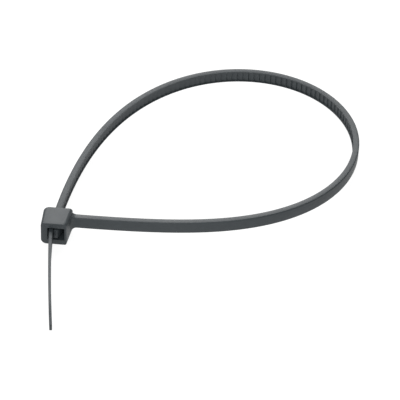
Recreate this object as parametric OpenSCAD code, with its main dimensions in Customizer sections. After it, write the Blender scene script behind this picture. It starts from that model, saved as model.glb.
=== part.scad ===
// Self-locking cable tie, passed once through its own head to make an open loop.
// It is one moulding: a toothed strap, a head with a slot and a sprung pawl, and a thin smooth tail.
// The strap stands on its edge, so the loop lies in the X-Y plane and the strap's width runs along Z.
// The origin is at the middle of the head's underside. The strap leaves the head towards +X,
// runs anticlockwise, comes back into the head from behind and leaves it towards -Y as the tail.

/* [Strap] */
// Width of the strap
strap_w = 2.6; // [2.2:0.1:3]
// Thickness of the toothed strap, over its two rails
strap_t = 1.25; // [1.1:0.05:1.4]
// Thickness of the web that carries the teeth
web_t = 0.8; // [0.6:0.05:0.85]
// Width of each of the two side rails
rail_w = 0.22; // [0.15:0.01:0.35]
// Distance from one tooth to the next
tooth_pitch = 1.2; // [0.9:0.1:1.8]
// Height of a tooth above the web
tooth_h = 0.22; // [0.2:0.02:0.4]
// Flat land on the tip of a tooth
tooth_land = 0.14; // [0.05:0.01:0.3]
// Length of plain strap between the neck and the first tooth
plain_len = 9; // [4:1:20]
// Rounding of the outer edges, measured across the thickness
edge_round_t = 0.3; // [0.2:0.02:0.6]
// Rounding of the outer edges, measured across the width
edge_round_w = 0.2; // [0.1:0.01:0.35]

/* [Loop] */
// Length of strap in the loop, from the neck to the head's back face
loop_len = 172; // [130:0.1:220]
// Angle that the strap is off square as it enters the head
entry_lean = 5.1; // [0:0.1:9]
// Third wave of the bend: negative values fill out the loop's flanks
bend_wave_3 = -2.5; // [-5:0.1:2]
// Fourth wave of the bend: it makes one flank fuller than the other
bend_wave_4 = -1.1; // [-3:0.1:3]

/* [Tail] */
// Length of the tail beyond the head
tail_len = 26.5; // [15:0.5:60]
// Thickness of the smooth tail
tail_t = 0.54; // [0.4:0.02:0.6]
// Length over which the rails and teeth run out
run_out_len = 6; // [4:0.5:8]
// Distance before the head's back face at which they start to run out
run_out_lead = 1.4; // [0.5:0.1:2.5]
// Length over which the web thins to the tail
tail_taper_len = 7; // [5:0.5:14]
// Bend of the strap where it leaves the head
exit_bend = 11.5; // [4:0.5:16]
// Further bend of the tail over its length
tail_curl = 2.8; // [0:0.2:10]
// Length of the pointed end of the tail
tip_len = 5; // [3:0.5:9]
// Width of the tail at its tip
tip_w = 1.3; // [0.8:0.1:1.8]

/* [Head] */
// Length of the head along the strap, at its back face where the strap goes in
head_l = 5.7; // [5.2:0.1:6.5]
// How much shorter the head is at its front face, where the tail comes out
head_taper = 0.65; // [0.3:0.05:1]
// Depth of the head, from its back face to its front face
head_d = 4.95; // [4.4:0.05:6]
// Height of the head, across the strap's width
head_h = 5.3; // [4.8:0.1:6.5]
// Radius of the head's upright back corner at its free end
back_corner_r = 0.7; // [0.3:0.05:1]
// Radius of the upper edge at the head's free end
upper_edge_r = 0.6; // [0.3:0.05:0.9]
// Radius of the lower edge at the head's free end
lower_edge_r = 1.1; // [0.5:0.05:1.2]
// Radius of the upper edge on the neck side
neck_upper_r = 0.65; // [0.3:0.05:0.9]
// Radius of the lower edge on the neck side
neck_lower_r = 0.4; // [0.2:0.05:0.6]
// Radius of the fillet that blends the head into the strap's smooth face
neck_fillet_r = 1.15; // [0.7:0.05:1.5]
// Radius of the fillets that blend the head's height into the strap's width
neck_cove_r = 1.35; // [0.9:0.05:1.4]
// How far the neck stands proud of the strap at its end
neck_step = 0.05; // [0.03:0.01:0.1]

/* [Slot and pawl] */
// Thickness of the head's free end wall at the front face
end_wall = 1.3; // [0.9:0.05:1.5]
// Thickness of the wall between the pawl's pocket and the neck side
side_wall = 0.42; // [0.25:0.01:0.45]
// Clearance above and below the strap in the slot
slot_clear = 0.2; // [0.15:0.01:0.35]
// Clearance between the strap's smooth face and the end wall at the back face
entry_gap = 0.3; // [0.25:0.05:0.5]
// Clearance between the strap's toothed face and the slot's mouth
mouth_gap = 0.35; // [0.2:0.05:0.45]
// Angle that the slot's end wall is off square
slot_lean = 3.5; // [0:0.5:5]
// Depth of the pawl's pocket from the front face
pocket_d = 3.3; // [2.8:0.1:3.6]
// Thickness of the pawl at its tip
pawl_t = 0.8; // [0.6:0.02:1.1]
// Clearance between the pawl and the strap
pawl_gap = 0.1; // [0.08:0.01:0.2]
// Distance of the pawl's tip behind the front face
pawl_set_back = 0.12; // [0.05:0.01:0.3]
// Number of teeth on the pawl
pawl_teeth = 3; // [2:1:4]
// Depth of the notches between the pawl's teeth
pawl_notch = 0.28; // [0.15:0.01:0.35]
// Clearance between the pawl and each rail
pawl_side_gap = 0.05; // [0.03:0.01:0.1]

/* [Hidden] */
$fn = 96;

mid_z = head_h / 2;
wall_slant = atan(head_taper / head_d);
channel_w = strap_w - 2 * rail_w;
slot_h = strap_w + 2 * slot_clear;
cut = 1;

// X of the head's neck-side wall at a given Y
function side_x(y) = head_l / 2 - head_taper * (head_d / 2 - y) / head_d;

// X of the slot's end wall at a given Y
function slot_x(y) = -head_l / 2 + end_wall + (y + head_d / 2) * tan(slot_lean);

// The strap's toothed face is flush with the head's back face, and the neck ends with its fillet.
neck_y = head_d / 2 - strap_t / 2;
fillet_y = head_d / 2 - strap_t - neck_step - neck_fillet_r;
fillet_x = side_x(fillet_y) + neck_fillet_r / cos(wall_slant);
loop_start = [fillet_x, neck_y];
loop_end = [slot_x(head_d / 2) + entry_gap + strap_t / 2 / cos(entry_lean), head_d / 2];

// The bend of the loop, as the strap's heading in degrees at a share u of the loop's length.
// Two of its four waves are settled so that the strap ends at the slot's mouth.
turn = 270 - entry_lean;
function loop_heading(u, waves) =
    turn * u + waves[0] * sin(180 * u) + waves[1] * sin(360 * u)
    + bend_wave_3 * sin(540 * u) + bend_wave_4 * sin(720 * u);

settle_steps = 60;
function chord(i, waves) =
    let (
        a = loop_heading(i / settle_steps, waves),
        b = loop_heading((i + 1) / settle_steps, waves),
        length = loop_len / settle_steps * (1 - pow((b - a) * PI / 180, 2) / 24)
    )
    length * [cos((a + b) / 2), sin((a + b) / 2)];
function chord_sum(waves, i = 0, total = [0, 0]) =
    i >= settle_steps ? total : chord_sum(waves, i + 1, total + chord(i, waves));
function miss(waves) = chord_sum(waves) - (loop_end - loop_start);

// Newton's method on the two free waves
first_waves = [0, -31];
settle_rounds = 6;
wave_nudge = 0.01;
function settle(waves, rounds) =
    rounds < 1 ? waves :
    let (
        r = miss(waves),
        p = (miss(waves + [wave_nudge, 0]) - r) / wave_nudge,
        q = (miss(waves + [0, wave_nudge]) - r) / wave_nudge,
        det = p[0] * q[1] - q[0] * p[1]
    )
    settle(waves - [r[0] * q[1] - r[1] * q[0], p[0] * r[1] - p[1] * r[0]] / det, rounds - 1);
waves = settle(first_waves, settle_rounds);

// The strap's whole path: a straight start buried in the neck, the loop, a straight run into the
// head, a short bend at the front face and the gently curled tail.
buried_len = 0.5;
exit_bend_len = 1.6;
exit_bend_lead = 1.3;
straight_len = head_d - exit_bend_lead;
bend_start = loop_len + straight_len;
tail_start = bend_start + exit_bend_len;
strap_end = loop_len + head_d + tail_len;
function heading(s) =
    s < 0 ? 0 :
    s < loop_len ? loop_heading(s / loop_len, waves) :
    s < bend_start ? turn :
    s < tail_start ? turn + exit_bend * (s - bend_start) / exit_bend_len :
    turn + exit_bend + tail_curl * (s - tail_start) / (strap_end - tail_start);

path_step = 0.4;
path_steps = ceil((strap_end + buried_len) / path_step) + 1;
path = [
    for (i = 0, p = loop_start - [buried_len, 0];
         i <= path_steps;
         p = p + path_step * [cos(heading((i + 0.5) * path_step - buried_len)),
                              sin(heading((i + 0.5) * path_step - buried_len))],
         i = i + 1) p
];

// Plan point at distance s along the strap and n outwards from its centre line
function strap_point(s, n) =
    let (
        i = max(0, min(path_steps - 1, floor((s + buried_len) / path_step))),
        s0 = i * path_step - buried_len,
        mean = heading((s + s0) / 2),
        here = heading(s)
    )
    path[i] + (s - s0) * [cos(mean), sin(mean)] + n * [sin(here), -cos(here)];

// Thickness of the strap along its length, taken off its toothed side
run_out_start = loop_len - run_out_lead;
run_out_end = run_out_start + run_out_len;
taper_end = run_out_end + tail_taper_len;
tip_round = 0.35;
function blend(s, s0, s1, v0, v1) = v0 + (v1 - v0) * max(0, min(1, (s - s0) / (s1 - s0)));
function thickness(s) =
    s < run_out_end ? blend(s, run_out_start, run_out_end, strap_t, web_t) :
    s < taper_end ? blend(s, run_out_end, taper_end, web_t, tail_t) :
    blend(s, strap_end - tip_round, strap_end, tail_t, tail_t / 2);
function half_width(s) =
    blend(s, strap_end - tip_len, strap_end - tip_round, strap_w, tip_w) / 2
    - blend(s, strap_end - tip_round, strap_end, 0, tip_round / 2);

// Cross-section of the strap, as points [outwards, up]: square on the toothed side and
// rounded by quarter ellipses on the smooth side
corner_angles = [0, 30, 60, 90];
function section(s) =
    let (
        t = thickness(s),
        h = half_width(s),
        outer = strap_t / 2,
        et = edge_round_t * t / strap_t,
        ew = edge_round_w
    )
    concat(
        [[outer - t, -h], [outer - t, h]],
        [for (a = corner_angles) [outer - et + et * sin(a), h - ew + ew * cos(a)]],
        [for (a = corner_angles) [outer - et + et * cos(a), -h + ew - ew * sin(a)]]
    );

// Places of the cross-sections: close together in the head and at the tip
ring_pitch = 1.5;
fine_pitch = 0.5;
loop_rings = ceil(run_out_start / ring_pitch);
head_rings = ceil((tail_start - run_out_start) / fine_pitch);
tail_rings = ceil((strap_end - tip_len - tail_start) / ring_pitch);
stations = concat(
    [-buried_len],
    [for (i = [0 : loop_rings]) run_out_start * i / loop_rings],
    [for (i = [1 : head_rings]) run_out_start + (tail_start - run_out_start) * i / head_rings],
    [for (i = [1 : tail_rings]) tail_start + (strap_end - tip_len - tail_start) * i / tail_rings],
    [strap_end - tip_len / 2, strap_end - tip_round, strap_end]
);

// The strap as a sweep of its cross-section, without the toothed channel
module strap_sweep() {
    per = len(section(0));
    count = len(stations);
    points = [
        for (s = stations) for (p = section(s))
            let (xy = strap_point(s, p[0])) [xy[0], xy[1], mid_z + p[1]]
    ];
    sides = [
        for (i = [0 : count - 2]) for (j = [0 : per - 1])
            let (k = (j + 1) % per)
            each [
                [i * per + j, (i + 1) * per + j, (i + 1) * per + k],
                [i * per + j, (i + 1) * per + k, i * per + k]
            ]
    ];
    start_cap = [for (j = [0 : per - 1]) j];
    end_cap = [for (j = [per - 1 : -1 : 0]) (count - 1) * per + j];
    polyhedron(points, concat(sides, [start_cap, end_cap]), convexity = 10);
}

// The channel between the rails, with the teeth left standing in it: each tooth is steep on the
// side that faces the neck and slopes down towards the tail
teeth = floor((run_out_end - plain_len) / tooth_pitch);
channel_clear = 0.25;
module toothed_channel() {
    floor_n = strap_t / 2 - web_t;
    tip_n = floor_n - tooth_h;
    clear_n = -strap_t / 2 - channel_clear;
    profile = [
        for (i = [0 : teeth - 1])
            let (s = plain_len + i * tooth_pitch)
            each [
                strap_point(s, floor_n), strap_point(s, tip_n),
                strap_point(s + tooth_land, tip_n)
            ]
    ];
    last = plain_len + teeth * tooth_pitch;
    outside = [
        for (i = [teeth : -1 : 0]) strap_point(plain_len + i * tooth_pitch, clear_n)
    ];
    translate([0, 0, mid_z - channel_w / 2])
        linear_extrude(channel_w)
            polygon(concat(
                [strap_point(plain_len - tooth_pitch / 2, clear_n)],
                profile,
                [strap_point(last, floor_n)],
                outside
            ));
}

module strap() {
    difference() {
        strap_sweep();
        toothed_channel();
    }
}

// A square corner with its round taken out, to cut a rounded edge with
module corner_waste(r) {
    difference() {
        translate([-cut, -cut]) square(r + cut);
        translate([r, r]) circle(r);
    }
}

// Outline of the head from above
module head_plan() {
    difference() {
        polygon([
            [-head_l / 2, -head_d / 2], [side_x(-head_d / 2), -head_d / 2],
            [head_l / 2, head_d / 2], [-head_l / 2, head_d / 2]
        ]);
        translate([-head_l / 2, head_d / 2]) mirror([0, 1]) corner_waste(back_corner_r);
    }
}

// Rounded edge waste along the neck-side wall, at the underside
module side_edge_waste(r) {
    translate([head_l / 2, head_d / 2, 0])
        rotate([0, 0, -wall_slant])
            translate([0, cut, 0])
                rotate([90, 0, 0])
                    linear_extrude(head_d + 3 * cut)
                        mirror([1, 0])
                            corner_waste(r);
}

module head_block() {
    difference() {
        linear_extrude(head_h) head_plan();
        translate([-head_l / 2, head_d / 2 + cut, 0])
            rotate([90, 0, 0])
                linear_extrude(head_d + 2 * cut)
                    corner_waste(lower_edge_r);
        translate([-head_l / 2, head_d / 2 + cut, head_h])
            rotate([90, 0, 0])
                linear_extrude(head_d + 2 * cut)
                    mirror([0, 1]) corner_waste(upper_edge_r);
        side_edge_waste(neck_lower_r);
        translate([0, 0, head_h]) mirror([0, 0, 1]) side_edge_waste(neck_upper_r);
    }
}

// The neck, as the overlap of its outline from above and its outline from the front
module neck() {
    inner_x = side_x(0) - side_wall;
    plan_bottom = fillet_y - neck_fillet_r;
    cove_x = fillet_x + neck_step;
    intersection() {
        linear_extrude(head_h)
            difference() {
                translate([inner_x, fillet_y])
                    square([fillet_x - inner_x, head_d / 2 - fillet_y]);
                translate([fillet_x, fillet_y]) circle(neck_fillet_r);
            }
        translate([0, head_d / 2 + cut, mid_z])
            rotate([90, 0, 0])
                linear_extrude(head_d / 2 - plan_bottom + 2 * cut)
                    difference() {
                        translate([inner_x, -head_h / 2 + neck_lower_r])
                            square([fillet_x - inner_x, head_h - neck_lower_r - neck_upper_r]);
                        for (side = [-1, 1])
                            translate([cove_x, side * (strap_w / 2 + neck_step + neck_cove_r)])
                                circle(neck_cove_r);
                    }
    }
}

// The way through the head for the strap, with the pawl's pocket beside it
mouth_x = loop_end[0] + strap_t / 2 / cos(entry_lean) + mouth_gap;
pocket_y = -head_d / 2 + pocket_d;
pocket_chamfer = 0.35;
module slot_and_pocket() {
    front = -head_d / 2;
    back = head_d / 2;
    pocket_x = side_x(pocket_y) - side_wall;
    translate([0, 0, mid_z - slot_h / 2])
        linear_extrude(slot_h) {
            polygon([
                [slot_x(front - cut), front - cut], [side_x(front - cut) - side_wall, front - cut],
                [pocket_x, pocket_y - pocket_chamfer], [pocket_x - pocket_chamfer, pocket_y],
                [mouth_x, pocket_y], [mouth_x, back + cut], [slot_x(back + cut), back + cut]
            ]);
        }
}

// The pawl: a lever that springs from the back of the pocket and reaches to the front face, with
// its teeth towards the strap. Its root is thicker than its tip and is sunk into the head.
pawl_swell = 0.25;
pawl_sink = 0.4;
pawl_shoulder = 0.3;
pawl_tooth_share = 0.85;
module pawl() {
    tip_s = loop_len + head_d - pawl_set_back;
    root_s = loop_len + head_d - pocket_d;
    tip = strap_point(tip_s, strap_t / 2 - thickness(tip_s) - pawl_gap);
    root = strap_point(root_s, strap_t / 2 - thickness(root_s) - pawl_gap);
    along = (root - tip) / norm(root - tip);
    away = [along[1], -along[0]];
    reach = norm(root - tip);
    pitch = reach / pawl_teeth;
    root_y = pocket_y + pawl_sink;
    shoulder_y = pocket_y - pawl_shoulder;
    root_t = pawl_t + pawl_swell;
    translate([0, 0, mid_z - channel_w / 2 + pawl_side_gap])
        linear_extrude(channel_w - 2 * pawl_side_gap)
            polygon(concat(
                [
                    for (i = [0 : pawl_teeth - 1])
                        each [
                            tip + along * (i * pitch),
                            tip + along * pitch * (i + pawl_tooth_share) + away * pawl_notch
                        ]
                ],
                [
                    [mouth_x, shoulder_y], [mouth_x, root_y],
                    [mouth_x + root_t, root_y], [mouth_x + root_t, shoulder_y],
                    tip + away * pawl_t
                ]
            ));
}

module head() {
    difference() {
        union() {
            head_block();
            neck();
        }
        slot_and_pocket();
    }
    pawl();
}

module cable_tie() {
    color([0.16, 0.17, 0.17]) {
        head();
        strap();
    }
}

cable_tie();
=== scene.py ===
"""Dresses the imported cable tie: one satin nylon moulding, its studio and the photograph's camera.

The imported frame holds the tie's one node. It is replaced here by the same moulding with its fine
edges: rounded rails, crisp teeth, eased head edges and a drawn-down tail. The tie's sizes are in
millimetres until its finished mesh is brought into the frame's metres.
"""

from __future__ import annotations

import logging
import math
from collections.abc import Iterable, Sequence
from dataclasses import dataclass, field
from enum import Enum

import bmesh
import bpy
from mathutils import Matrix, Vector

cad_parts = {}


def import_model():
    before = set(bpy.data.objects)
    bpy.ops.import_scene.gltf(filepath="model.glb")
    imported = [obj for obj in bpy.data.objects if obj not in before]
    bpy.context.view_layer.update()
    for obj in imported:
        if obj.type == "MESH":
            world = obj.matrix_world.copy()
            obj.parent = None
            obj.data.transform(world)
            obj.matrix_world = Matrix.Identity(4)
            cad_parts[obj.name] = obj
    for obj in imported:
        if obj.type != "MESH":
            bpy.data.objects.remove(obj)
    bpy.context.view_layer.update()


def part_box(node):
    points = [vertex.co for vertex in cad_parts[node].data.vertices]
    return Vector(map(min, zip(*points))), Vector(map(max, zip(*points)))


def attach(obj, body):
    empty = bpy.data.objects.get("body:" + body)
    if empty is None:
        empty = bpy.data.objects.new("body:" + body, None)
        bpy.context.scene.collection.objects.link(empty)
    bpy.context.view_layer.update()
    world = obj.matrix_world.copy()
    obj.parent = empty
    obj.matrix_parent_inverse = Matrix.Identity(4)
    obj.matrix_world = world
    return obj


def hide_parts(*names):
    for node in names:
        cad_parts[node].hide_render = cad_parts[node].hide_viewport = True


LOG = logging.getLogger("cable_tie")

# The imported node, the body that it rides on and its material slot
NODE = "cable_tie"
BODY = "root"
SLOT = "moulded_nylon"
# One millimetre in metres
MM = 0.001
# A quarter turn in radians
QUARTER = math.pi / 2
# Points nearer to each other than this are one point, in millimetres
WELD = 1e-4
# How far a cut runs past the faces that it opens, in millimetres
MARGIN = 1.0


class Combine(Enum):
    """How one solid is combined with another."""

    JOIN = "UNION"
    CUT = "DIFFERENCE"


def blend(value: float, low: float, high: float, first: float, last: float) -> float:
    """Runs from one number to another as a value runs from low to high.

    Args:
        value: Where to look.
        low: The value at which the result starts to leave first.
        high: The value at which the result reaches last.
        first: The result at and below low.
        last: The result at and above high.

    Returns:
        The number at that value.
    """
    share = max(0.0, min(1.0, (value - low) / (high - low)))
    return first + (last - first) * share


def cove(distance: float, radius: float) -> float:
    """How far a round cove has risen at a distance from where it starts.

    Args:
        distance: Distance from the cove's start, along the flat that it rises from.
        radius: Radius of the cove.

    Returns:
        The height gained there.
    """
    reach = max(0.0, min(distance, radius))
    return radius - math.sqrt(radius**2 - reach**2)


def quarter_turn(steps: int) -> list[float]:
    """Angles from zero to a quarter turn in equal steps, in radians."""
    return [i * QUARTER / steps for i in range(steps + 1)]


def next_ring(
    mesh: bmesh.types.BMesh, ring: list[bmesh.types.BMVert], edges: list[bmesh.types.BMEdge],
) -> tuple[list[bmesh.types.BMVert], list[bmesh.types.BMEdge]]:
    """Extrudes a ring and finds the new ring in the old one's order.

    Args:
        mesh: The mesh that holds the ring.
        ring: The ring's points in order.
        edges: The ring's edges.

    Returns:
        The new ring's points, each at the place of the one that it comes from, and its edges.
    """
    made = bmesh.ops.extrude_edge_only(mesh, edges=edges)["geom"]
    fresh = {item for item in made if isinstance(item, bmesh.types.BMVert)}
    new_edges = [item for item in made if isinstance(item, bmesh.types.BMEdge)]
    new_edges = [edge for edge in new_edges if set(edge.verts) <= fresh]
    follower = {}
    for vert in fresh:
        for edge in vert.link_edges:
            if edge.other_vert(vert) not in fresh:
                follower[edge.other_vert(vert)] = vert
    return [follower[vert] for vert in ring], new_edges


def sweep(mesh: bmesh.types.BMesh, rings: Iterable[Sequence[Vector]]) -> None:
    """Extrudes a closed ring from place to place and caps both of its ends.

    Args:
        mesh: The mesh that receives the swept solid.
        rings: The places of the ring's points, one sequence for each step.
    """
    places = iter(rings)
    ring = [mesh.verts.new(point) for point in next(places)]
    edges = [mesh.edges.new((a, b)) for a, b in zip(ring, ring[1:] + ring[:1])]
    bmesh.ops.contextual_create(mesh, geom=edges)
    for points in places:
        ring, edges = next_ring(mesh, ring, edges)
        for vert, point in zip(ring, points):
            vert.co = point
    bmesh.ops.contextual_create(mesh, geom=edges)
    bmesh.ops.recalc_face_normals(mesh, faces=mesh.faces)


def prism(plan: Sequence[tuple[float, float]], low: float, height: float) -> bmesh.types.BMesh:
    """Raises a plan outline into an upright prism.

    Args:
        plan: The outline's points as X and Y.
        low: Height of its underside.
        height: How tall it is.

    Returns:
        The prism as a new mesh.
    """
    mesh = bmesh.new()
    verts = [mesh.verts.new((x, y, low)) for x, y in plan]
    base = mesh.faces.new(verts)
    raised = bmesh.ops.extrude_face_region(mesh, geom=[base], use_keep_orig=True)["geom"]
    top = [item for item in raised if isinstance(item, bmesh.types.BMVert)]
    bmesh.ops.translate(mesh, vec=(0, 0, height), verts=top)
    bmesh.ops.recalc_face_normals(mesh, faces=mesh.faces)
    return mesh


def round_edges(
    mesh: bmesh.types.BMesh, edges: list[bmesh.types.BMEdge], radius: float, segments: int,
) -> None:
    """Rounds edges of a mesh.

    Args:
        mesh: The mesh to change.
        edges: The edges to round.
        radius: Radius of the rounding.
        segments: Number of steps across it.
    """
    bmesh.ops.bevel(
        mesh, geom=edges, offset=radius, offset_type="OFFSET", segments=segments,
        profile=0.5, affect="EDGES", clamp_overlap=True, material=-1,
    )


def to_object(mesh: bmesh.types.BMesh, name: str) -> bpy.types.Object:
    """Turns a finished mesh into an object in the scene.

    Args:
        mesh: The mesh, which is freed.
        name: The object's name.

    Returns:
        The new object.
    """
    data = bpy.data.meshes.new(name)
    mesh.to_mesh(data)
    mesh.free()
    made = bpy.data.objects.new(name, data)
    bpy.context.scene.collection.objects.link(made)
    return made


def combine(body: bpy.types.Object, tool: bpy.types.Object, how: Combine) -> None:
    """Combines a second solid with the first and removes the second.

    Args:
        body: The solid that is changed.
        tool: The solid that is joined to it or cut from it.
        how: Whether to join or to cut.
    """
    modifier = body.modifiers.new("combine", "BOOLEAN")
    modifier.operation = how.value
    modifier.solver = "EXACT"
    modifier.object = tool
    graph = bpy.context.evaluated_depsgraph_get()
    result = bpy.data.meshes.new_from_object(body.evaluated_get(graph))
    body.modifiers.clear()
    worn_out = body.data
    body.data = result
    bpy.data.meshes.remove(worn_out)
    bpy.data.objects.remove(tool)


@dataclass(frozen=True)
class HeadForm:
    """Sizes of the head and of its slot. The strap's mid-plane is the middle of its height.

    Attributes:
        height: Height of the head, across the strap's width.
        length: Length at the back face, where the strap goes in.
        taper: How much shorter the head is at its front face, where the tail comes out.
        depth: Depth from the back face to the front face.
        end_wall: Thickness of the free end's wall at the front face.
        side_wall: Thickness of the wall between the pawl's pocket and the neck side.
        slot_lean: Angle that the slot's end wall is off square, in degrees.
        slot_clear: Clearance above and below the strap in the slot.
        entry_gap: Clearance between the strap's smooth face and the end wall at the back face.
        mouth_gap: Clearance between the strap's toothed face and the slot's mouth.
        pocket_depth: Depth of the pawl's pocket from the front face.
        pocket_corner: How much of the pocket's far corner is cut off.
    """

    height: float
    length: float = 5.7
    taper: float = 0.65
    depth: float = 4.95
    end_wall: float = 1.3
    side_wall: float = 0.42
    slot_lean: float = 3.5
    slot_clear: float = 0.2
    entry_gap: float = 0.3
    mouth_gap: float = 0.35
    pocket_depth: float = 3.3
    pocket_corner: float = 0.35

    @property
    def mid_z(self) -> float:
        """Height of the mid-plane."""
        return self.height / 2

    @property
    def front(self) -> float:
        """Y of the front face, where the tail comes out."""
        return -self.depth / 2

    @property
    def back(self) -> float:
        """Y of the back face, where the strap goes in."""
        return self.depth / 2

    @property
    def pocket_y(self) -> float:
        """Y of the back of the pawl's pocket."""
        return self.front + self.pocket_depth

    @property
    def wall_slant(self) -> float:
        """Angle of the neck-side wall, in radians off square."""
        return math.atan(self.taper / self.depth)

    def side_x(self, y: float) -> float:
        """X of the neck-side wall at a given Y."""
        return self.length / 2 - self.taper * (self.back - y) / self.depth

    def slot_x(self, y: float) -> float:
        """X of the slot's end wall at a given Y."""
        lean = math.radians(self.slot_lean)
        return -self.length / 2 + self.end_wall + (y - self.front) * math.tan(lean)


@dataclass(frozen=True)
class StrapForm:
    """Sizes of the strap's cross-section, its teeth, its neck and its tail.

    Attributes:
        width: Width of the strap.
        thickness: Thickness over its two rails.
        web: Thickness of the web that carries the teeth.
        rail: Width of each rail.
        pitch: Distance from one tooth to the next.
        tooth_height: Height of a tooth above the web.
        tooth_rise: Length of a tooth's steep side.
        tooth_land: Distance from a tooth's start to the end of its flat tip.
        plain_len: Length of plain strap between the neck and the first tooth.
        smooth_edge_t: Rounding of the smooth face's edges, across the thickness.
        smooth_edge_w: Rounding of the same edges, across the width.
        inner_edge_r: Rounding of the rails' edges.
        neck_fillet: Radius of the fillet that blends the head into the smooth face.
        neck_cove: Radius of the coves that blend the head's height into the strap's width.
        neck_step: Small set-off of the fillet and the coves from the strap.
        neck_len: Length of the neck, up to its end inside the head.
        neck_limit: Most that half of the neck's height may be.
        neck_inset: How far the neck's inner face is drawn in at its end inside the head.
        neck_inset_lead: Distance into the neck at which that drawing in starts.
        run_out_lead: Distance before the head at which the rails and teeth start to run out.
        run_out_len: Length over which they run out.
        tail_taper: Length over which the web thins to the tail.
        tail: Thickness of the smooth tail.
        tip_len: Length of the tail's pointed end.
        tip_width: Width of the tail at its tip.
        tip_round: Radius of the tip's round end.
        tip_rest: Share of the tail's thickness that is left at the very end.
    """

    width: float = 2.6
    thickness: float = 1.25
    web: float = 0.8
    rail: float = 0.22
    pitch: float = 1.2
    tooth_height: float = 0.22
    tooth_rise: float = 0.12
    tooth_land: float = 0.14
    plain_len: float = 9.0
    smooth_edge_t: float = 0.3
    smooth_edge_w: float = 0.2
    inner_edge_r: float = 0.06
    neck_fillet: float = 1.15
    neck_cove: float = 1.35
    neck_step: float = 0.05
    neck_len: float = 1.34
    neck_limit: float = 2.0
    neck_inset: float = 0.04
    neck_inset_lead: float = 0.2875
    run_out_lead: float = 1.4
    run_out_len: float = 6.0
    tail_taper: float = 7.0
    tail: float = 0.54
    tip_len: float = 5.0
    tip_width: float = 1.3
    tip_round: float = 0.45
    tip_rest: float = 0.45


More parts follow.
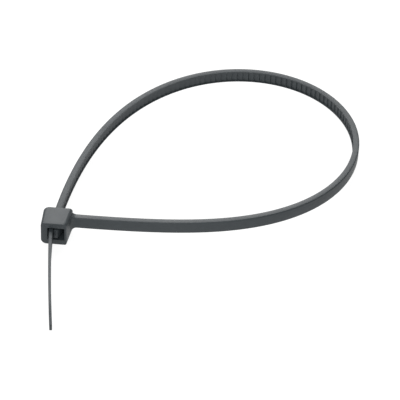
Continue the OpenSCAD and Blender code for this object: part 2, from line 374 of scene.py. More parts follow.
@dataclass
class TiePath:
    """The strap's centre line, from the neck round the loop, through the head and along the tail.

    A place on the strap is its distance s from the neck's end, and n is the distance outwards
    from the centre line, towards the strap's smooth face. Headings and bends are in degrees.

    Attributes:
        head: The head that the strap leaves and comes back into.
        strap: The strap's sizes.
        loop_len: Length of strap in the loop, from the neck to the head's back face.
        tail_len: Length of the tail beyond the head.
        slot_heading: Heading of a strap that goes through the head square.
        entry_lean: Angle that the strap is off square as it enters the head.
        wave_3: Third wave of the loop's bend, which fills out its flanks.
        wave_4: Fourth wave of the bend, which makes one flank fuller than the other.
        first_waves: The first two waves before they are settled.
        exit_bend: Bend of the strap where it leaves the head.
        exit_bend_len: Length of that bend.
        exit_bend_lead: Distance before the head's front face at which that bend starts.
        tail_curl: Further bend of the tail over its length.
        step: Distance between the points that are walked once.
        settle_steps: Number of short arcs that the loop's reach is summed from.
        settle_rounds: Number of rounds in which the two waves are settled.
        nudge: Small change of a wave that shows its effect.
        waves: The two settled waves.
        walked: The centre line's points, one at each step.
    """

    head: HeadForm
    strap: StrapForm
    loop_len: float = 172.0
    tail_len: float = 26.5
    slot_heading: float = 270.0
    entry_lean: float = 5.1
    wave_3: float = -2.5
    wave_4: float = -1.1
    first_waves: tuple[float, float] = (0.0, -31.0)
    exit_bend: float = 11.5
    exit_bend_len: float = 1.6
    exit_bend_lead: float = 1.3
    tail_curl: float = 2.8
    step: float = 0.4
    settle_steps: int = 60
    settle_rounds: int = 6
    nudge: float = 0.01
    waves: Vector = field(init=False)
    walked: list[Vector] = field(init=False)

    def __post_init__(self) -> None:
        """Settles the loop's bend and walks the path once."""
        self.waves = self.settle()
        self.walked = self.walk()

    @property
    def turn(self) -> float:
        """How far the loop turns from the neck to the slot."""
        return self.slot_heading - self.entry_lean

    @property
    def half_across(self) -> float:
        """Half of the strap's thickness, measured along the head's back face."""
        return self.strap.thickness / 2 / math.cos(math.radians(self.entry_lean))

    @property
    def start(self) -> Vector:
        """Plan point of the neck's end, where the loop starts.

        Returns:
            The point, in plan.
        """
        head, strap = self.head, self.strap
        fillet_y = head.back - strap.thickness - strap.neck_step - strap.neck_fillet
        fillet_x = head.side_x(fillet_y) + strap.neck_fillet / math.cos(head.wall_slant)
        return Vector((fillet_x, head.back - strap.thickness / 2))

    @property
    def end(self) -> Vector:
        """Plan point of the slot's mouth, where the loop ends."""
        wall_x = self.head.slot_x(self.head.back)
        return Vector((wall_x + self.head.entry_gap + self.half_across, self.head.back))

    @property
    def through(self) -> float:
        """Place at which the strap comes out of the head's front face."""
        return self.loop_len + self.head.depth

    @property
    def bend_start(self) -> float:
        """Place at which the bend in the head's front starts."""
        return self.through - self.exit_bend_lead

    @property
    def tail_start(self) -> float:
        """Place at which that bend ends and the tail's curl starts."""
        return self.bend_start + self.exit_bend_len

    @property
    def length(self) -> float:
        """Length of the strap from the neck's end to the tip."""
        return self.through + self.tail_len

    def loop_heading(self, share: float, waves: Vector) -> float:
        """Heading of the loop at a share of its length.

        Args:
            share: Share of the loop's length, from 0 at the neck to 1 at the slot.
            waves: The first two waves of the bend.

        Returns:
            The heading in degrees, anticlockwise from +X.
        """
        half_turn = math.pi * share
        return (
            self.turn * share + waves[0] * math.sin(half_turn) + waves[1] * math.sin(2 * half_turn)
            + self.wave_3 * math.sin(3 * half_turn) + self.wave_4 * math.sin(4 * half_turn)
        )

    def miss(self, waves: Vector) -> Vector:
        """How far the loop's end lies from the slot's mouth.

        Args:
            waves: The first two waves of the bend.

        Returns:
            The way from the mouth to the loop's end, in plan.
        """
        total = Vector((0.0, 0.0))
        for i in range(self.settle_steps):
            a = math.radians(self.loop_heading(i / self.settle_steps, waves))
            b = math.radians(self.loop_heading((i + 1) / self.settle_steps, waves))
            # The chord of a short arc, from the first two terms of its series
            chord = self.loop_len / self.settle_steps * (1 - (b - a) ** 2 / 24)
            total += chord * Vector((math.cos((a + b) / 2), math.sin((a + b) / 2)))
        return total - (self.end - self.start)

    def settle(self) -> Vector:
        """Finds, by Newton's method, the two waves that bring the strap to the slot.

        Returns:
            The first two waves of the bend.
        """
        waves = Vector(self.first_waves)
        for _ in range(self.settle_rounds):
            rest = self.miss(waves)
            p = (self.miss(waves + Vector((self.nudge, 0.0))) - rest) / self.nudge
            q = (self.miss(waves + Vector((0.0, self.nudge))) - rest) / self.nudge
            change = Vector((rest.x * q.y - rest.y * q.x, p.x * rest.y - p.y * rest.x))
            waves = waves - change / (p.x * q.y - q.x * p.y)
        return waves

    def heading(self, s: float) -> float:
        """Heading of the strap at a place on it.

        Args:
            s: Distance along the strap from the neck's end.

        Returns:
            The heading in degrees, anticlockwise from +X.
        """
        if s < 0:
            return 0.0
        if s < self.loop_len:
            return self.loop_heading(s / self.loop_len, self.waves)
        if s < self.bend_start:
            return self.turn
        if s < self.tail_start:
            return self.turn + self.exit_bend * (s - self.bend_start) / self.exit_bend_len
        past = (s - self.tail_start) / (self.length - self.tail_start)
        return self.turn + self.exit_bend + self.tail_curl * past

    def walk(self) -> list[Vector]:
        """Walks the centre line from the start of the neck to just past the tip.

        Returns:
            Its plan points, one at each step.
        """
        lead = self.strap.neck_len
        point = self.start - Vector((lead, 0.0))
        points = []
        for i in range(math.ceil((self.length + lead) / self.step) + 2):
            points.append(point)
            angle = math.radians(self.heading((i + 0.5) * self.step - lead))
            point = point + self.step * Vector((math.cos(angle), math.sin(angle)))
        return points

    def place(self, s: float, n: float) -> Vector:
        """Plan point at a place on the strap.

        Args:
            s: Distance along the strap from the neck's end.
            n: Distance outwards from the centre line.

        Returns:
            The point, in plan.
        """
        lead = self.strap.neck_len
        i = max(0, min(len(self.walked) - 1, math.floor((s + lead) / self.step)))
        reached = i * self.step - lead
        mean = math.radians(self.heading((s + reached) / 2))
        here = math.radians(self.heading(s))
        along = (s - reached) * Vector((math.cos(mean), math.sin(mean)))
        return self.walked[i] + along + n * Vector((math.sin(here), -math.cos(here)))


@dataclass
class Strap:
    """The neck, the toothed strap and the tail, swept as one length along the path.

    Attributes:
        form: The strap's sizes.
        path: The line that it follows.
        mid_z: Height of its middle.
        corner_steps: Steps across a rounded edge of the smooth face.
        small_steps: Steps across a rounded edge of a rail.
        edge_limit: Largest share of the half width that the first of these roundings takes.
        neck_rings: Number of rings in the neck.
        plain_pitch: Most that the rings of the plain strap stand apart.
        tail_pitch: Most that the rings of the tail stand apart.
        tip_rings: Number of rings in the tip's round end.
        tooth_easing: Distance from a tooth's corners to the rings that hold its slope.
    """

    form: StrapForm
    path: TiePath
    mid_z: float
    corner_steps: int = 6
    small_steps: int = 2
    edge_limit: float = 0.7
    neck_rings: int = 10
    plain_pitch: float = 1.0
    tail_pitch: float = 0.8
    tip_rings: int = 7
    tooth_easing: float = 0.1

    @property
    def run_out_start(self) -> float:
        """Place at which the rails and teeth start to run out."""
        return self.path.loop_len - self.form.run_out_lead

    @property
    def run_out_end(self) -> float:
        """Place at which they have run out into the web."""
        return self.run_out_start + self.form.run_out_len

    @property
    def teeth(self) -> int:
        """Number of teeth."""
        return math.floor((self.run_out_end - self.form.plain_len) / self.form.pitch)

    @property
    def channel_start(self) -> float:
        """Place at which the channel between the rails starts to deepen."""
        return self.form.plain_len - self.form.pitch / 2

    @property
    def last_tooth(self) -> float:
        """Place at which the last tooth ends."""
        return self.form.plain_len + self.teeth * self.form.pitch

    @property
    def round_start(self) -> float:
        """Place at which the tip's round end starts."""
        return self.path.length - self.form.tip_round

    def thickness(self, s: float) -> float:
        """Thickness of the strap at a place, without the neck.

        Args:
            s: Distance along the strap.

        Returns:
            The thickness over the rails, or of the tail beyond them.
        """
        form = self.form
        if s < self.run_out_end:
            return blend(s, self.run_out_start, self.run_out_end, form.thickness, form.web)
        taper_end = self.run_out_end + form.tail_taper
        full = blend(s, self.run_out_end, taper_end, form.web, form.tail)
        return full * blend(self.tip_share(s), 0, 1, form.tip_rest, 1)

    def tip_share(self, s: float) -> float:
        """Share of the full section that is left at a place in the tip's round end."""
        past = max(0.0, s - self.round_start) / self.form.tip_round
        return math.sqrt(max(0.0, 1 - min(1.0, past) ** 2))

    def half_width(self, s: float) -> float:
        """Half of the strap's width at a place, with the neck's coves and the tail's point.

        Args:
            s: Distance along the strap.

        Returns:
            The distance from the middle to the strap's edge.
        """
        form = self.form
        if s < 0:
            flared = form.width / 2 + cove(form.neck_step - s, form.neck_cove)
            return min(flared, form.neck_limit)
        point_start = self.path.length - form.tip_len
        pointed = blend(s, point_start, self.round_start, form.width, form.tip_width) / 2
        return pointed - form.tip_round * (1 - self.tip_share(s))

    def channel_n(self, s: float, inner: float) -> float:
        """Depth to which the channel, or a tooth in it, reaches.

        Args:
            s: Distance along the strap.
            inner: Where the strap's inner face is there.

        Returns:
            The channel's floor as a distance outwards from the centre line.
        """
        form = self.form
        floor = form.thickness / 2 - form.web
        if s <= self.channel_start or s >= self.last_tooth:
            return inner
        if s < form.plain_len:
            return blend(s, self.channel_start, form.plain_len, inner, floor)
        u = (s - form.plain_len) % form.pitch
        rise = blend(u, 0, form.tooth_rise, 0, 1)
        fall = blend(u, form.tooth_land, form.pitch, 1, 0)
        return max(inner, floor - form.tooth_height * rise * fall)

    def half_section(self, s: float) -> list[tuple[float, float]]:
        """Upper half of the cross-section, from the smooth face round to the channel's floor.

        Args:
            s: Distance along the strap.

        Returns:
            Points as distance outwards and height above the middle.
        """
        form = self.form
        half = self.half_width(s)
        thick = self.thickness(s)
        inset = blend(-s, form.neck_inset_lead, form.neck_len, 0, form.neck_inset)
        inner = form.thickness / 2 - thick + inset
        outer = form.thickness / 2 + cove(-s, form.neck_fillet)
        channel = self.channel_n(s, inner)
        edge_t = form.smooth_edge_t * thick / form.thickness
        edge_w = min(form.smooth_edge_w, half * self.edge_limit)
        rail = half * form.rail / (form.width / 2)
        lip = half - rail
        small = min(form.inner_edge_r, rail / 2)
        ease = min(small, (channel - inner) / 2)
        edge = quarter_turn(self.corner_steps)
        turn = quarter_turn(self.small_steps)
        return [
            *((outer - edge_t * (1 - math.cos(a)), half - edge_w * (1 - math.sin(a))) for a in edge),
            *((inner + small * (1 - math.sin(a)), half - small * (1 - math.cos(a))) for a in turn),
            *((inner + ease * (1 - math.cos(a)), lip + ease * (1 - math.sin(a))) for a in turn),
            *((channel - ease * (1 - math.sin(a)), lip - ease * (1 - math.cos(a))) for a in turn),
        ]

    def ring(self, s: float) -> list[Vector]:
        """The cross-section's points at a place on the path.

        Args:
            s: Distance along the strap.

        Returns:
            The points in order, in space.
        """
        upper = self.half_section(s)
        lower = [(n, -z) for n, z in reversed(upper)]
        return [
            self.path.place(s, n).to_3d() + Vector((0, 0, self.mid_z + z)) for n, z in upper + lower
        ]

    def stations(self) -> list[float]:
        """Places of the rings: close together in the neck, on the teeth and at the tip.

        Returns:
            Distances along the strap, in order.
        """
        form = self.form
        places = [-form.neck_len * (1 - i / self.neck_rings) for i in range(self.neck_rings)]
        plain_end = form.plain_len - form.pitch
        plain = math.ceil(plain_end / self.plain_pitch)
        places += [i * plain_end / plain for i in range(plain + 1)]
        places.append(self.channel_start)
        marks = (
            0.0, form.tooth_rise, form.tooth_land, form.tooth_land + self.tooth_easing,
            form.pitch / 2, form.pitch - self.tooth_easing,
        )
        for i in range(self.teeth):
            places += [form.plain_len + i * form.pitch + mark for mark in marks]
        smooth = self.round_start - self.last_tooth
        tail = math.ceil(smooth / self.tail_pitch)
        places += [self.last_tooth + i * smooth / tail for i in range(tail + 1)]
        angles = quarter_turn(self.tip_rings)[1:]
        places += [self.round_start + form.tip_round * math.sin(angle) for angle in angles]
        return places

    def build(self) -> bpy.types.Object:
        """Builds the strap as one closed solid.

        Returns:
            The strap, in millimetres.
        """
        mesh = bmesh.new()
        sweep(mesh, (self.ring(s) for s in self.stations()))
        bmesh.ops.remove_doubles(mesh, verts=mesh.verts, dist=WELD)
        return to_object(mesh, "strap")


@dataclass
class Head:
    """The tapered head with its slot and the pocket for the pawl.

    Attributes:
        form: The head's sizes.
        strap: Sizes of the strap that runs through it.
        path: The strap's path.
        upper_r: Radius of the upper edge at the free end.
        lower_r: Radius of the lower edge at the free end.
        neck_upper_r: Radius of the upper edge on the neck side.
        neck_lower_r: Radius of the lower edge on the neck side.
        back_corner_r: Radius of the upright back corner at the free end.
        front_edge_r: Rounding of the front face's edge.
        back_edge_r: Rounding of the back face's edge.
        corner_steps: Steps across each of the four long edges.
        edge_steps: Steps across the rounding of a face's edge.
        body_rings: Outlines along each of the two stretches between the faces' edges.
        slot_corner_r: Rounding of the corners inside the slot and the pocket.
        rim_r: Rounding of the rims of the slot and the pocket.
        rim_steps: Steps across these last two roundings.
        rim_angle: Least angle between the faces at a rim, in degrees.
    """

    form: HeadForm
    strap: StrapForm
    path: TiePath
    upper_r: float = 0.6
    lower_r: float = 1.1
    neck_upper_r: float = 0.65
    neck_lower_r: float = 0.4
    back_corner_r: float = 0.7
    front_edge_r: float = 0.06
    back_edge_r: float = 0.06
    corner_steps: int = 8
    edge_steps: int = 4
    body_rings: int = 6
    slot_corner_r: float = 0.12
    rim_r: float = 0.05
    rim_steps: int = 3
    rim_angle: float = 45.0

    @property
    def mouth_x(self) -> float:
        """X of the slot's wall on the strap's toothed side, at the back face."""
        return self.path.end.x + self.path.half_across + self.form.mouth_gap

    def outline(self, y: float, ease: float, corner: float) -> list[Vector]:
        """Outline of the head across its depth at a given Y.

        Args:
            y: Where the outline lies.
            ease: How far the outline is drawn in by the rounding of a face's edge.
            corner: How far its free end is drawn in by the upright back corner.

        Returns:
            The outline's points in order.
        """
        form = self.form
        left = -form.length / 2 + max(ease, corner)
        right = form.side_x(y) - ease
        low, high = ease, form.height - ease
        # The last number is the quarter turn that the corner runs through, counted from +X to +Z
        corners = (
            (left, low, self.lower_r, 2), (right, low, self.neck_lower_r, 3),
            (right, high, self.neck_upper_r, 0), (left, high, self.upper_r, 1),
        )
        points = []
        for x, z, radius, quarter in corners:
            shrunk = radius - ease / 2
            centre_x = x + shrunk * (1 if quarter in (1, 2) else -1)
            centre_z = z + shrunk * (1 if quarter in (2, 3) else -1)
            for i in range(self.corner_steps + 1):
                angle = (quarter + i / self.corner_steps) * QUARTER
                points.append(Vector((
                    centre_x + shrunk * math.cos(angle), y, centre_z + shrunk * math.sin(angle),
                )))
        return points

    def outlines(self) -> list[list[Vector]]:
        """Outlines from the front face to the back face, with both faces' edges rounded.

        Returns:
            The outlines in order, each as its points.
        """
        form = self.form
        front_edge_y = form.front + self.front_edge_r
        corner_y = form.back - self.back_corner_r
        back_edge_y = form.back - self.back_edge_r
        rings = []
        for a in quarter_turn(self.edge_steps):
            y = form.front + self.front_edge_r * (1 - math.cos(a))
            rings.append(self.outline(y, self.front_edge_r * (1 - math.sin(a)), 0))
        for i in range(1, self.body_rings + 1):
            y = front_edge_y + (corner_y - front_edge_y) * i / self.body_rings
            rings.append(self.outline(y, 0, 0))
        for i in range(1, self.body_rings + 1):
            y = corner_y + (back_edge_y - corner_y) * i / self.body_rings
            rings.append(self.outline(y, 0, cove(y - corner_y, self.back_corner_r)))
        for a in quarter_turn(self.edge_steps)[1:]:
            y = back_edge_y + self.back_edge_r * math.sin(a)
            corner = cove(y - corner_y, self.back_corner_r)
            rings.append(self.outline(y, self.back_edge_r * (1 - math.cos(a)), corner))
        return rings

    def block(self) -> bpy.types.Object:
        """Builds the head's outer form.

        Returns:
            The solid block.
        """
        mesh = bmesh.new()
        sweep(mesh, self.outlines())
        return to_object(mesh, "head")

    def way_through(self) -> bpy.types.Object:
        """Builds the room that is cut out of the head for the strap and the pawl.

        Returns:
            The room as a solid.
        """
        form = self.form
        before, behind = form.front - MARGIN, form.back + MARGIN
        pocket_x = form.side_x(form.pocket_y) - form.side_wall
        plan = (
            (form.slot_x(before), before),
            (form.side_x(before) - form.side_wall, before),
            (pocket_x, form.pocket_y - form.pocket_corner),
            (pocket_x - form.pocket_corner, form.pocket_y),
            (self.mouth_x, form.pocket_y),
            (self.mouth_x, behind),
            (form.slot_x(behind), behind),
        )
        height = self.strap.width + 2 * form.slot_clear
        mesh = prism(plan, form.mid_z - height / 2, height)
        round_edges(mesh, list(mesh.edges), self.slot_corner_r, self.rim_steps)
        return to_object(mesh, "way_through")

    def is_rim(self, edge: bmesh.types.BMEdge) -> bool:
        """Tells whether an edge is a sharp rim on the head's front or back face.

        Args:
            edge: An edge of the head.

        Returns:
            Whether it lies on one of the two faces and its own faces meet at an angle.
        """
        levels = (self.form.front, self.form.back)
        on_face = any(all(abs(v.co.y - y) < WELD for v in edge.verts) for y in levels)
        sharp = math.radians(self.rim_angle)
        return on_face and len(edge.link_faces) == 2 and edge.calc_face_angle(0) > sharp

    def ease_rims(self, head: bpy.types.Object) -> None:
        """Rounds the rims of the slot and the pocket on the head's front and back faces.

        Args:
            head: The head with its way through already cut.
        """
        mesh = bmesh.new()
        mesh.from_mesh(head.data)
        bmesh.ops.remove_doubles(mesh, verts=mesh.verts, dist=WELD)
        rims = [edge for edge in mesh.edges if self.is_rim(edge)]
        round_edges(mesh, rims, self.rim_r, self.rim_steps)
        bmesh.ops.recalc_face_normals(mesh, faces=mesh.faces)
        mesh.to_mesh(head.data)
        mesh.free()

    def build(self) -> bpy.types.Object:
        """Builds the hollow head, without the pawl.

        Returns:
            The head, in millimetres.
        """
        head = self.block()
        combine(head, self.way_through(), Combine.CUT)
        self.ease_rims(head)
        return head


@dataclass
class Pawl:
    """The toothed tongue that springs from the back of the pocket and holds the strap.

    Attributes:
        head: The head that it is moulded into.
        strap: The strap that it holds.
        thickness: Thickness at its tip.
        gap: Clearance between it and the strap.
        set_back: Distance of its tip behind the head's front face.
        teeth: Number of its teeth.
        notch: Depth of the notches between the teeth.
        tooth_share: Share of a tooth's length that its slope takes.
        side_gap: Clearance between it and each rail.
        swell: How much thicker its root is than its tip.
        sink: How far its root runs into the head.
        shoulder: Length of the root inside the pocket.
        edge_r: Rounding of its edges.
        edge_steps: Steps across that rounding.
    """

    head: Head
    strap: Strap
    thickness: float = 0.8
    gap: float = 0.1
    set_back: float = 0.12
    teeth: int = 3
    notch: float = 0.28
    tooth_share: float = 0.85
    side_gap: float = 0.05
    swell: float = 0.25
    sink: float = 0.4
    shoulder: float = 0.3
    edge_r: float = 0.05
    edge_steps: int = 2

    def face_end(self, s: float) -> Vector:
        """Plan point of the toothed face beside a place on the strap."""
        n = self.strap.form.thickness / 2 - self.strap.thickness(s) - self.gap
        return self.strap.path.place(s, n)

    def plan(self) -> list[tuple[float, float]]:
        """Outline of the pawl, along its teeth from the tip to the root and back.

        Returns:
            The outline's points as X and Y.
        """
        form = self.head.form
        tip = self.face_end(self.strap.path.through - self.set_back)
        root = self.face_end(self.strap.path.through - form.pocket_depth)
        along = (root - tip).normalized()
        away = Vector((along.y, -along.x))
        pitch = (root - tip).length / self.teeth
        points = []
        for i in range(self.teeth):
            points.append(tip + along * i * pitch)
            points.append(tip + along * pitch * (i + self.tooth_share) + away * self.notch)
        near_x = self.head.mouth_x
        far_x = near_x + self.thickness + self.swell
        shoulder_y, root_y = form.pocket_y - self.shoulder, form.pocket_y + self.sink
        points += [
            Vector((near_x, shoulder_y)), Vector((near_x, root_y)),
            Vector((far_x, root_y)), Vector((far_x, shoulder_y)), tip + away * self.thickness,
        ]
        return [tuple(point) for point in points]

    def build(self) -> bpy.types.Object:
        """Builds the pawl, with its root inside the head.

        Returns:
            The pawl, in millimetres.
        """
        width = self.strap.form.width - 2 * (self.strap.form.rail + self.side_gap)
        mesh = prism(self.plan(), self.head.form.mid_z - width / 2, width)
        round_edges(mesh, list(mesh.edges), self.edge_r, self.edge_steps)
        return to_object(mesh, "pawl")


@dataclass(frozen=True)
class MouldedNylon:
    """Satin dark grey nylon as it comes out of the tool: faint mottle and a very fine grain.

    Attributes:
        colour: Its colour, in linear light.
        roughness: Middle of its roughness.
        roughness_spread: How far the roughness strays to either side.
        specular: Its specular level.
        mottle: Share by which the colour strays to either side.
        mottle_scale: Scale of the mottle, in cycles a metre.
        mottle_detail: Number of the mottle's finer octaves.
        flow_scale: Scale of the marks in the gloss, in cycles a metre.
        grain_scale: Scale of the grain, in cycles a metre.
        fine_detail: Number of finer octaves in the gloss and the grain.
        grain_depth: Depth of the grain in metres.
        grain_strength: How strongly the grain shows.
    """

    colour: tuple[float, float, float] = (0.036, 0.044, 0.049)
    roughness: float = 0.52
    roughness_spread: float = 0.05
    specular: float = 0.45
    mottle: float = 0.16
    mottle_scale: float = 900.0
    mottle_detail: float = 3.0
    flow_scale: float = 260.0
    grain_scale: float = 6500.0
    fine_detail: float = 2.0
    grain_depth: float = 0.000004
    grain_strength: float = 0.5

    def material(self) -> bpy.types.Material:
        """Makes the procedural material.

        Returns:
            The material.
        """
        made = bpy.data.materials.new(SLOT)
        made.use_nodes = True
        nodes, links = made.node_tree.nodes, made.node_tree.links
        shader = nodes["Principled BSDF"]
        shader.inputs["Specular IOR Level"].default_value = self.specular
        place = nodes.new("ShaderNodeTexCoord").outputs["Object"]

        mottle = self.noise(made, place, self.mottle_scale, self.mottle_detail)
        tint = nodes.new("ShaderNodeMix")
        tint.data_type = "RGBA"
        tint.inputs["A"].default_value = (*(c * (1 - self.mottle) for c in self.colour), 1)
        tint.inputs["B"].default_value = (*(c * (1 + self.mottle) for c in self.colour), 1)
        links.new(mottle, tint.inputs["Factor"])
        links.new(tint.outputs["Result"], shader.inputs["Base Color"])

        flow = self.noise(made, place, self.flow_scale, self.fine_detail)
        gloss = nodes.new("ShaderNodeMapRange")
        gloss.inputs["To Min"].default_value = self.roughness - self.roughness_spread
        gloss.inputs["To Max"].default_value = self.roughness + self.roughness_spread
        links.new(flow, gloss.inputs["Value"])
        links.new(gloss.outputs["Result"], shader.inputs["Roughness"])

        grain = self.noise(made, place, self.grain_scale, self.fine_detail)
        bump = nodes.new("ShaderNodeBump")
        bump.inputs["Strength"].default_value = self.grain_strength
        bump.inputs["Distance"].default_value = self.grain_depth
        links.new(grain, bump.inputs["Height"])
        links.new(bump.outputs["Normal"], shader.inputs["Normal"])
        return made

    @staticmethod
    def noise(
        made: bpy.types.Material, place: bpy.types.NodeSocket, scale: float, detail: float,
    ) -> bpy.types.NodeSocket:
        """Adds a noise pattern to a material.

        Args:
            made: The material.
            place: The coordinates that it reads.
            scale: Its scale, in cycles a metre.
            detail: Number of finer octaves.

        Returns:
            The noise's value socket.
        """
        texture = made.node_tree.nodes.new("ShaderNodeTexNoise")
        texture.inputs["Scale"].default_value = scale
        texture.inputs["Detail"].default_value = detail
        made.node_tree.links.new(place, texture.inputs["Vector"])
        return texture.outputs["Fac"]


@dataclass
class CableTie:
    """The whole moulding: head, pawl and strap joined into one mesh.

    Attributes:
        height: Height of the head in millimetres.
        finish: The plastic that it is moulded from.
        smooth_angle: Angle in degrees up to which two faces are shaded as one.
    """

    height: float
    finish: MouldedNylon
    smooth_angle: float = 32.0

    def build(self) -> bpy.types.Object:
        """Builds the tie in the frame's metres, dressed and riding on its body.

        Returns:
            The finished tie.
        """
        tie = self.moulding()
        tie.name = "moulded_tie"
        self.finish_mesh(tie)
        tie.data.materials.clear()
        tie.data.materials.append(self.finish.material())
        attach(tie, BODY)
        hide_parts(NODE)
        return tie

    def moulding(self) -> bpy.types.Object:
        """Builds the three sub-assemblies and joins them.

        Returns:
            The joined tie, in millimetres.
        """
        head_form = HeadForm(height=self.height)
        strap_form = StrapForm()
        path = TiePath(head=head_form, strap=strap_form)
        strap = Strap(form=strap_form, path=path, mid_z=head_form.mid_z)
        head = Head(form=head_form, strap=strap_form, path=path)
        tie = head.build()
        combine(tie, Pawl(head=head, strap=strap).build(), Combine.JOIN)
        combine(tie, strap.build(), Combine.JOIN)
        return tie

    def finish_mesh(self, tie: bpy.types.Object) -> None:
        """Welds, scales and shades the joined mesh.

        Args:
            tie: The joined tie, still in millimetres.
        """
        mesh = bmesh.new()
        mesh.from_mesh(tie.data)
        bmesh.ops.remove_doubles(mesh, verts=mesh.verts, dist=WELD)
        bmesh.ops.recalc_face_normals(mesh, faces=mesh.faces)
        bmesh.ops.scale(mesh, vec=(MM, MM, MM), verts=mesh.verts)
        mesh.to_mesh(tie.data)
        mesh.free()
        tie.data.shade_smooth()
        tie.data.set_sharp_from_angle(angle=math.radians(self.smooth_angle))


@dataclass(frozen=True)
class Lamp:
    """A soft light, placed by its direction from what it is aimed at. Lengths are in metres.

    Attributes:
        name: The light's name.
        azimuth: Where it stands, in degrees anticlockwise from the object's front.
        elevation: How high it stands, in degrees above the table.
        distance: How far it is from what it is aimed at.
        size: Side of its square window.
        power: Its power in watts.
        shift: How far it is moved, with its aim, from the target.
    """

    name: str
    azimuth: float
    elevation: float
    distance: float
    size: float
    power: float
    shift: tuple[float, float, float] = (0.0, 0.0, 0.0)

    def build(self, target: Vector) -> bpy.types.Object:
        """Makes the light, aimed at the target.

        Args:
            target: What it is aimed at, before its shift.

        Returns:
            The light.
        """
        data = bpy.data.lights.new(self.name, "AREA")
        data.shape = "SQUARE"
        data.size = self.size
        data.energy = self.power
        made = bpy.data.objects.new(self.name, data)
        turn = Matrix.Rotation(math.radians(self.azimuth), 3, "Z")
        rise = math.radians(self.elevation)
        back = turn @ Vector((0, -math.cos(rise), math.sin(rise)))
        made.location = target + Vector(self.shift) + back * self.distance
        made.rotation_euler = back.to_track_quat("Z", "Y").to_euler()
        bpy.context.scene.collection.objects.link(made)
        return made


@dataclass(frozen=True)
class PhotoCamera:
    """The photograph's camera: far off, looking down along the head, a little rolled.

    Attributes:
        aim: The point that it looks at, in millimetres.
        turn: Its turn about the upright axis, in degrees.
        look_down: How far it looks down, in degrees below level.
        roll: Its roll about its line of sight, in degrees.
        distance: Its distance from the aim, in millimetres.
        focal_share: Focal length over the sensor's width.
        sensor: Width of the sensor, in millimetres.
        clip_share: The far clip over the distance, and the distance over the near clip.
    """

    aim: tuple[float, float, float] = (27.36, 11.10, 2.65)
    turn: float = 2.964
    look_down: float = 40.943
    roll: float = 2.550
    distance: float = 440.0
    focal_share: float = 5.5
    sensor: float = 36.0
    clip_share: float = 20.0

    def build(self) -> bpy.types.Object:
        """Makes the camera and sets it as the scene's.

        Returns:
            The camera object.
        """
        data = bpy.data.cameras.new("photo_camera")
        data.sensor_width = self.sensor
        data.lens = self.sensor * self.focal_share
        data.clip_start = self.distance * MM / self.clip_share
        data.clip_end = self.distance * MM * self.clip_share
        made = bpy.data.objects.new("photo_camera", data)
        turned = (
            Matrix.Rotation(math.radians(self.turn), 4, "Z")
            @ Matrix.Rotation(QUARTER - math.radians(self.look_down), 4, "X")
            @ Matrix.Rotation(math.radians(self.roll), 4, "Z")
        )
        target = Vector(self.aim) * MM
        back = turned.to_3x3() @ Vector((0, 0, 1))
        made.matrix_world = Matrix.Translation(target + back * self.distance * MM) @ turned
        bpy.context.scene.collection.objects.link(made)
        bpy.context.scene.camera = made
        return made


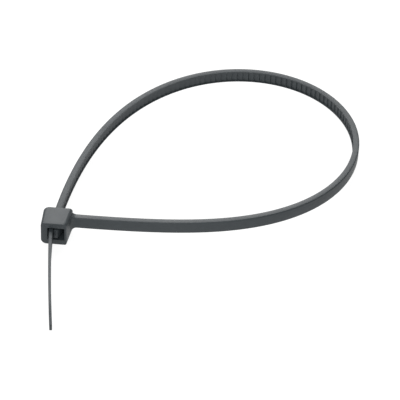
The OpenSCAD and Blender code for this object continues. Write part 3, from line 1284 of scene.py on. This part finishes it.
@dataclass
class Studio:
    """White table, soft world and lamps.

    Attributes:
        world_level: Strength of the even light from all sides.
        table_size: Side of the table in metres.
        table_grey: Grey of the table where it throws light back on the object.
        white_share: Light of the table's own where it is seen.
        shadow_share: Grey that takes the object's shadow where the table is seen.
        lamps: The lamps, each by its direction and power.
    """

    world_level: float = 0.39
    table_size: float = 3.0
    table_grey: float = 0.75
    white_share: float = 0.9
    shadow_share: float = 0.2
    lamps: list[Lamp] = field(default_factory=lambda: [
        Lamp("back_softbox", azimuth=180, elevation=25, distance=0.7, size=0.35, power=2.1),
        Lamp("front_softbox", azimuth=-8, elevation=35, distance=0.3, size=0.22, power=0.39),
        Lamp("near_softbox", azimuth=180, elevation=45, distance=0.25, size=0.1, power=0.06,
             shift=(0.0, -0.04, 0.0)),
        Lamp("left_softbox", azimuth=200, elevation=45, distance=0.2, size=0.08, power=0.12,
             shift=(-0.02, -0.04, 0.0)),
    ])

    def build(self, target: Vector) -> None:
        """Sets up the table, the world and the lamps.

        Args:
            target: The point that the lamps are placed from.
        """
        self.table()
        self.world()
        for lamp in self.lamps:
            lamp.build(target)
        bpy.context.scene.view_settings.view_transform = "Standard"

    def world(self) -> None:
        """Fills the surroundings with an even plain light."""
        world = bpy.data.worlds.new("plain_room")
        world.use_nodes = True
        background = world.node_tree.nodes["Background"]
        background.inputs["Color"].default_value = (1, 1, 1, 1)
        background.inputs["Strength"].default_value = self.world_level
        bpy.context.scene.world = world

    def table(self) -> bpy.types.Object:
        """Makes the table, which is seen as white and still takes the object's soft shadow.

        Returns:
            The table.
        """
        mesh = bmesh.new()
        bmesh.ops.create_grid(mesh, x_segments=1, y_segments=1, size=self.table_size / 2)
        made = to_object(mesh, "table")
        made.data.materials.append(self.table_material())
        return made

    def table_material(self) -> bpy.types.Material:
        """Makes the table's white, which is plain grey for the light that it throws back.

        Returns:
            The material.
        """
        made = bpy.data.materials.new("white_table")
        made.use_nodes = True
        nodes, links = made.node_tree.nodes, made.node_tree.links
        nodes.clear()
        lit = nodes.new("ShaderNodeBsdfDiffuse")
        lit.inputs["Color"].default_value = (*[self.table_grey] * 3, 1)
        white = nodes.new("ShaderNodeEmission")
        white.inputs["Strength"].default_value = self.white_share
        shaded = nodes.new("ShaderNodeBsdfDiffuse")
        shaded.inputs["Color"].default_value = (*[self.shadow_share] * 3, 1)
        seen = nodes.new("ShaderNodeAddShader")
        links.new(white.outputs[0], seen.inputs[0])
        links.new(shaded.outputs[0], seen.inputs[1])
        path = nodes.new("ShaderNodeLightPath")
        watched = path.outputs["Is Camera Ray"]
        for ray in ("Is Glossy Ray", "Is Transmission Ray"):
            either = nodes.new("ShaderNodeMath")
            either.operation = "MAXIMUM"
            links.new(watched, either.inputs[0])
            links.new(path.outputs[ray], either.inputs[1])
            watched = either.outputs[0]
        choice = nodes.new("ShaderNodeMixShader")
        links.new(watched, choice.inputs[0])
        links.new(lit.outputs[0], choice.inputs[1])
        links.new(seen.outputs[0], choice.inputs[2])
        output = nodes.new("ShaderNodeOutputMaterial")
        links.new(choice.outputs[0], output.inputs["Surface"])
        return made


def main() -> None:
    """Builds the camera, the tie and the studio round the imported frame."""
    logging.basicConfig(level=logging.INFO, format="%(name)s: %(message)s")
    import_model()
    low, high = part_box(NODE)
    camera = PhotoCamera().build()
    LOG.info("%s: a lens of %.0f mm", camera.name, camera.data.lens)
    tie = CableTie(height=high.z / MM, finish=MouldedNylon()).build()
    LOG.info("%s: %d faces", tie.name, len(tie.data.polygons))
    Studio().build((low + high) / 2)
    LOG.info("studio: table, world and lamps")


if __name__ == "__main__":
    main()
